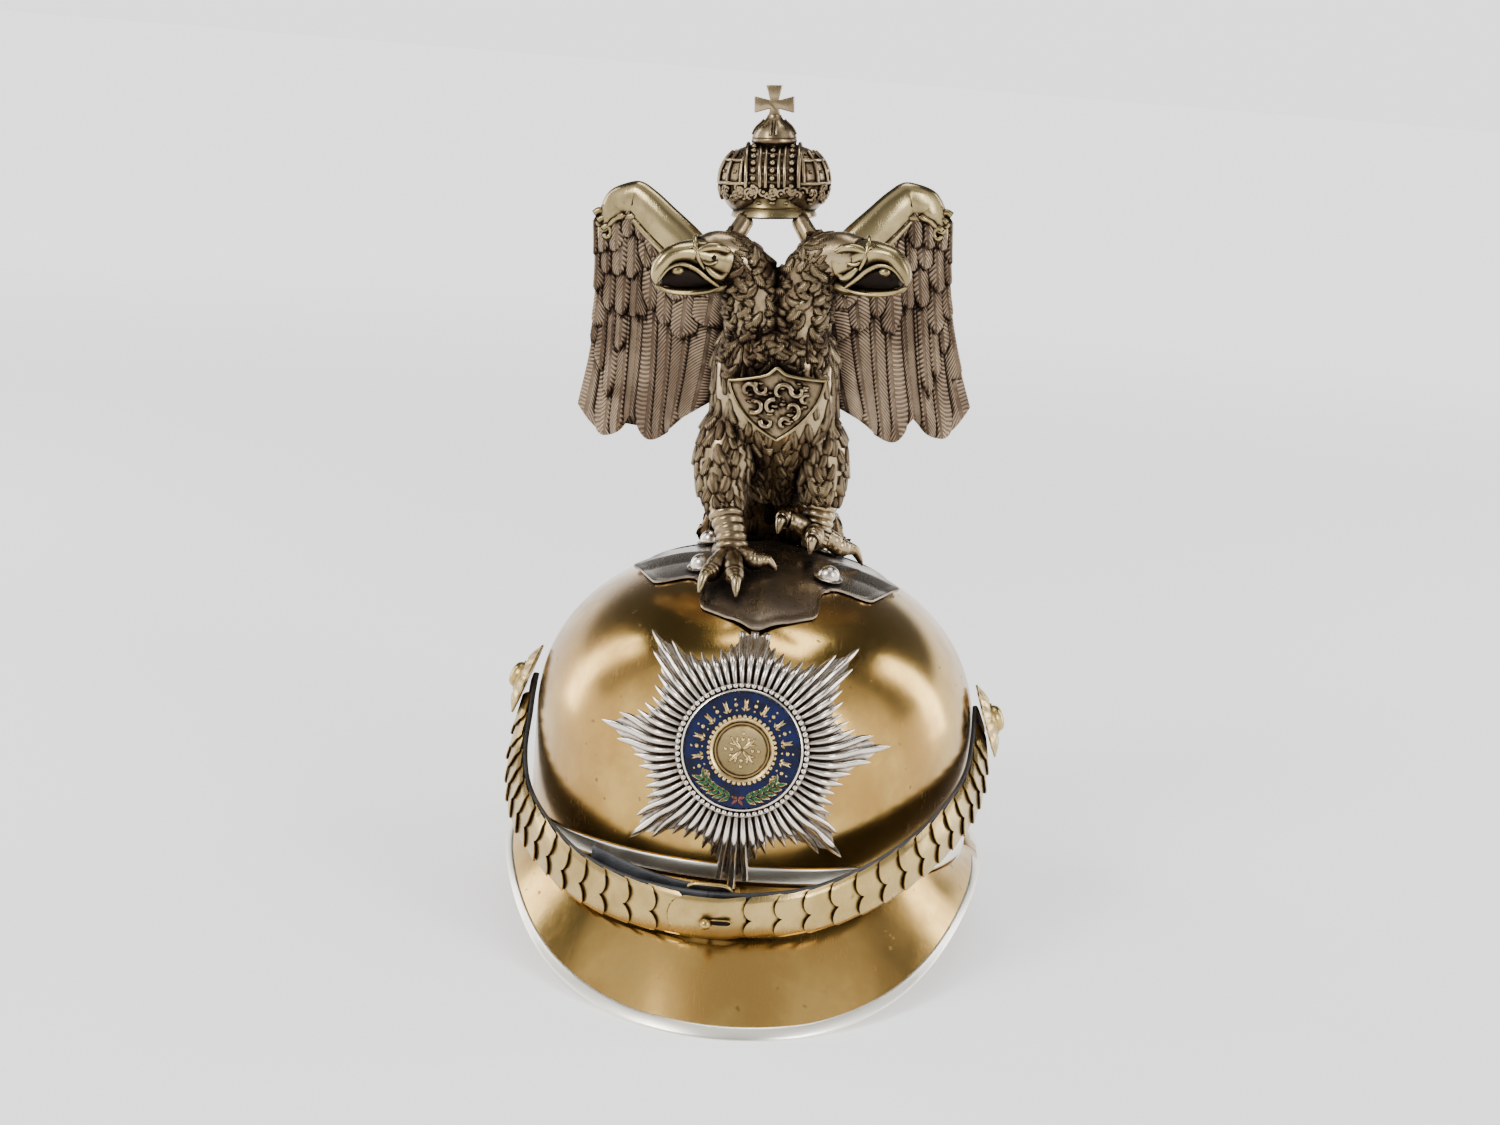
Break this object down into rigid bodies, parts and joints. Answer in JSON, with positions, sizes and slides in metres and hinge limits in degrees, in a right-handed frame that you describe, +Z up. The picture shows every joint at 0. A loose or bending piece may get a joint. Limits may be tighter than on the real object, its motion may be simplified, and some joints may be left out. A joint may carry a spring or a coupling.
{
  "type": "parade helmet",
  "caption": "Brass cavalry parade helmet with a visor and neck guard, a rayed star, a scale chin chain and a crowned two-headed eagle on top.",
  "frame": {"origin": "middle of the underside of the helmet's box, on the surface it stands on", "axes": "+Z up, -Y to the helmet's front, +X to the right of someone who looks at its front"},
  "size_m": [0.2216, 0.3396, 0.3617],
  "materials": {
    "skull_brass": "old polished brass, mottled and finely scratched",
    "scale_brass": "pale gilt brass with worn edges",
    "white_metal": "polished white metal with small spots",
    "tarnished_silver": "cast, silvered and tarnished, brown in the hollows and yellow where worn",
    "star_silver": "bright fluted silver, grey between the rays",
    "gilt": "gilt, satin",
    "enamel": "glossy dark blue enamel",
    "leather": "black strap leather, satin, with a raised edge and stitching"
  },
  "bodies": {
    "root": {"skull": "skull_brass", "visor": "skull_brass", "visor_rim": "white_metal", "neck_guard": "skull_brass", "neck_guard_rim": "white_metal", "brow_band": "white_metal", "star_rays": "star_silver", "star_ring": "star_silver", "star_enamel": "enamel", "star_medallion": "gilt", "base_plate": "tarnished_silver", "plate_screw_1": "tarnished_silver", "plate_screw_2": "tarnished_silver", "plate_screw_3": "tarnished_silver", "plate_screw_4": "tarnished_silver", "eagle": "tarnished_silver", "wing_left": "tarnished_silver", "wing_right": "tarnished_silver", "chest_shield": "tarnished_silver", "crown": "tarnished_silver", "crown_orb": "tarnished_silver", "chain_leather_left": "leather", "chain_leather_right": "leather", "scale_left_01": "scale_brass", "scale_left_02": "scale_brass", "scale_left_03": "scale_brass", "scale_left_04": "scale_brass", "scale_left_05": "scale_brass", "scale_left_06": "scale_brass", "scale_left_07": "scale_brass", "scale_left_08": "scale_brass", "scale_left_09": "scale_brass", "scale_left_10": "scale_brass", "scale_left_11": "scale_brass", "scale_left_12": "scale_brass", "scale_left_13": "scale_brass", "scale_left_14": "scale_brass", "scale_left_15": "scale_brass", "scale_right_01": "scale_brass", "scale_right_02": "scale_brass", "scale_right_03": "scale_brass", "scale_right_04": "scale_brass", "scale_right_05": "scale_brass", "scale_right_06": "scale_brass", "scale_right_07": "scale_brass", "scale_right_08": "scale_brass", "scale_right_09": "scale_brass", "scale_right_10": "scale_brass", "scale_right_11": "scale_brass", "scale_right_12": "scale_brass", "scale_right_13": "scale_brass", "scale_right_14": "scale_brass", "scale_right_15": "scale_brass", "clasp_plate": "scale_brass", "clasp_stud": "scale_brass", "rosette_left": "scale_brass", "rosette_right": "scale_brass", "strap_tongue": "leather", "buckle": "scale_brass"}
  },
  "joints": []
}
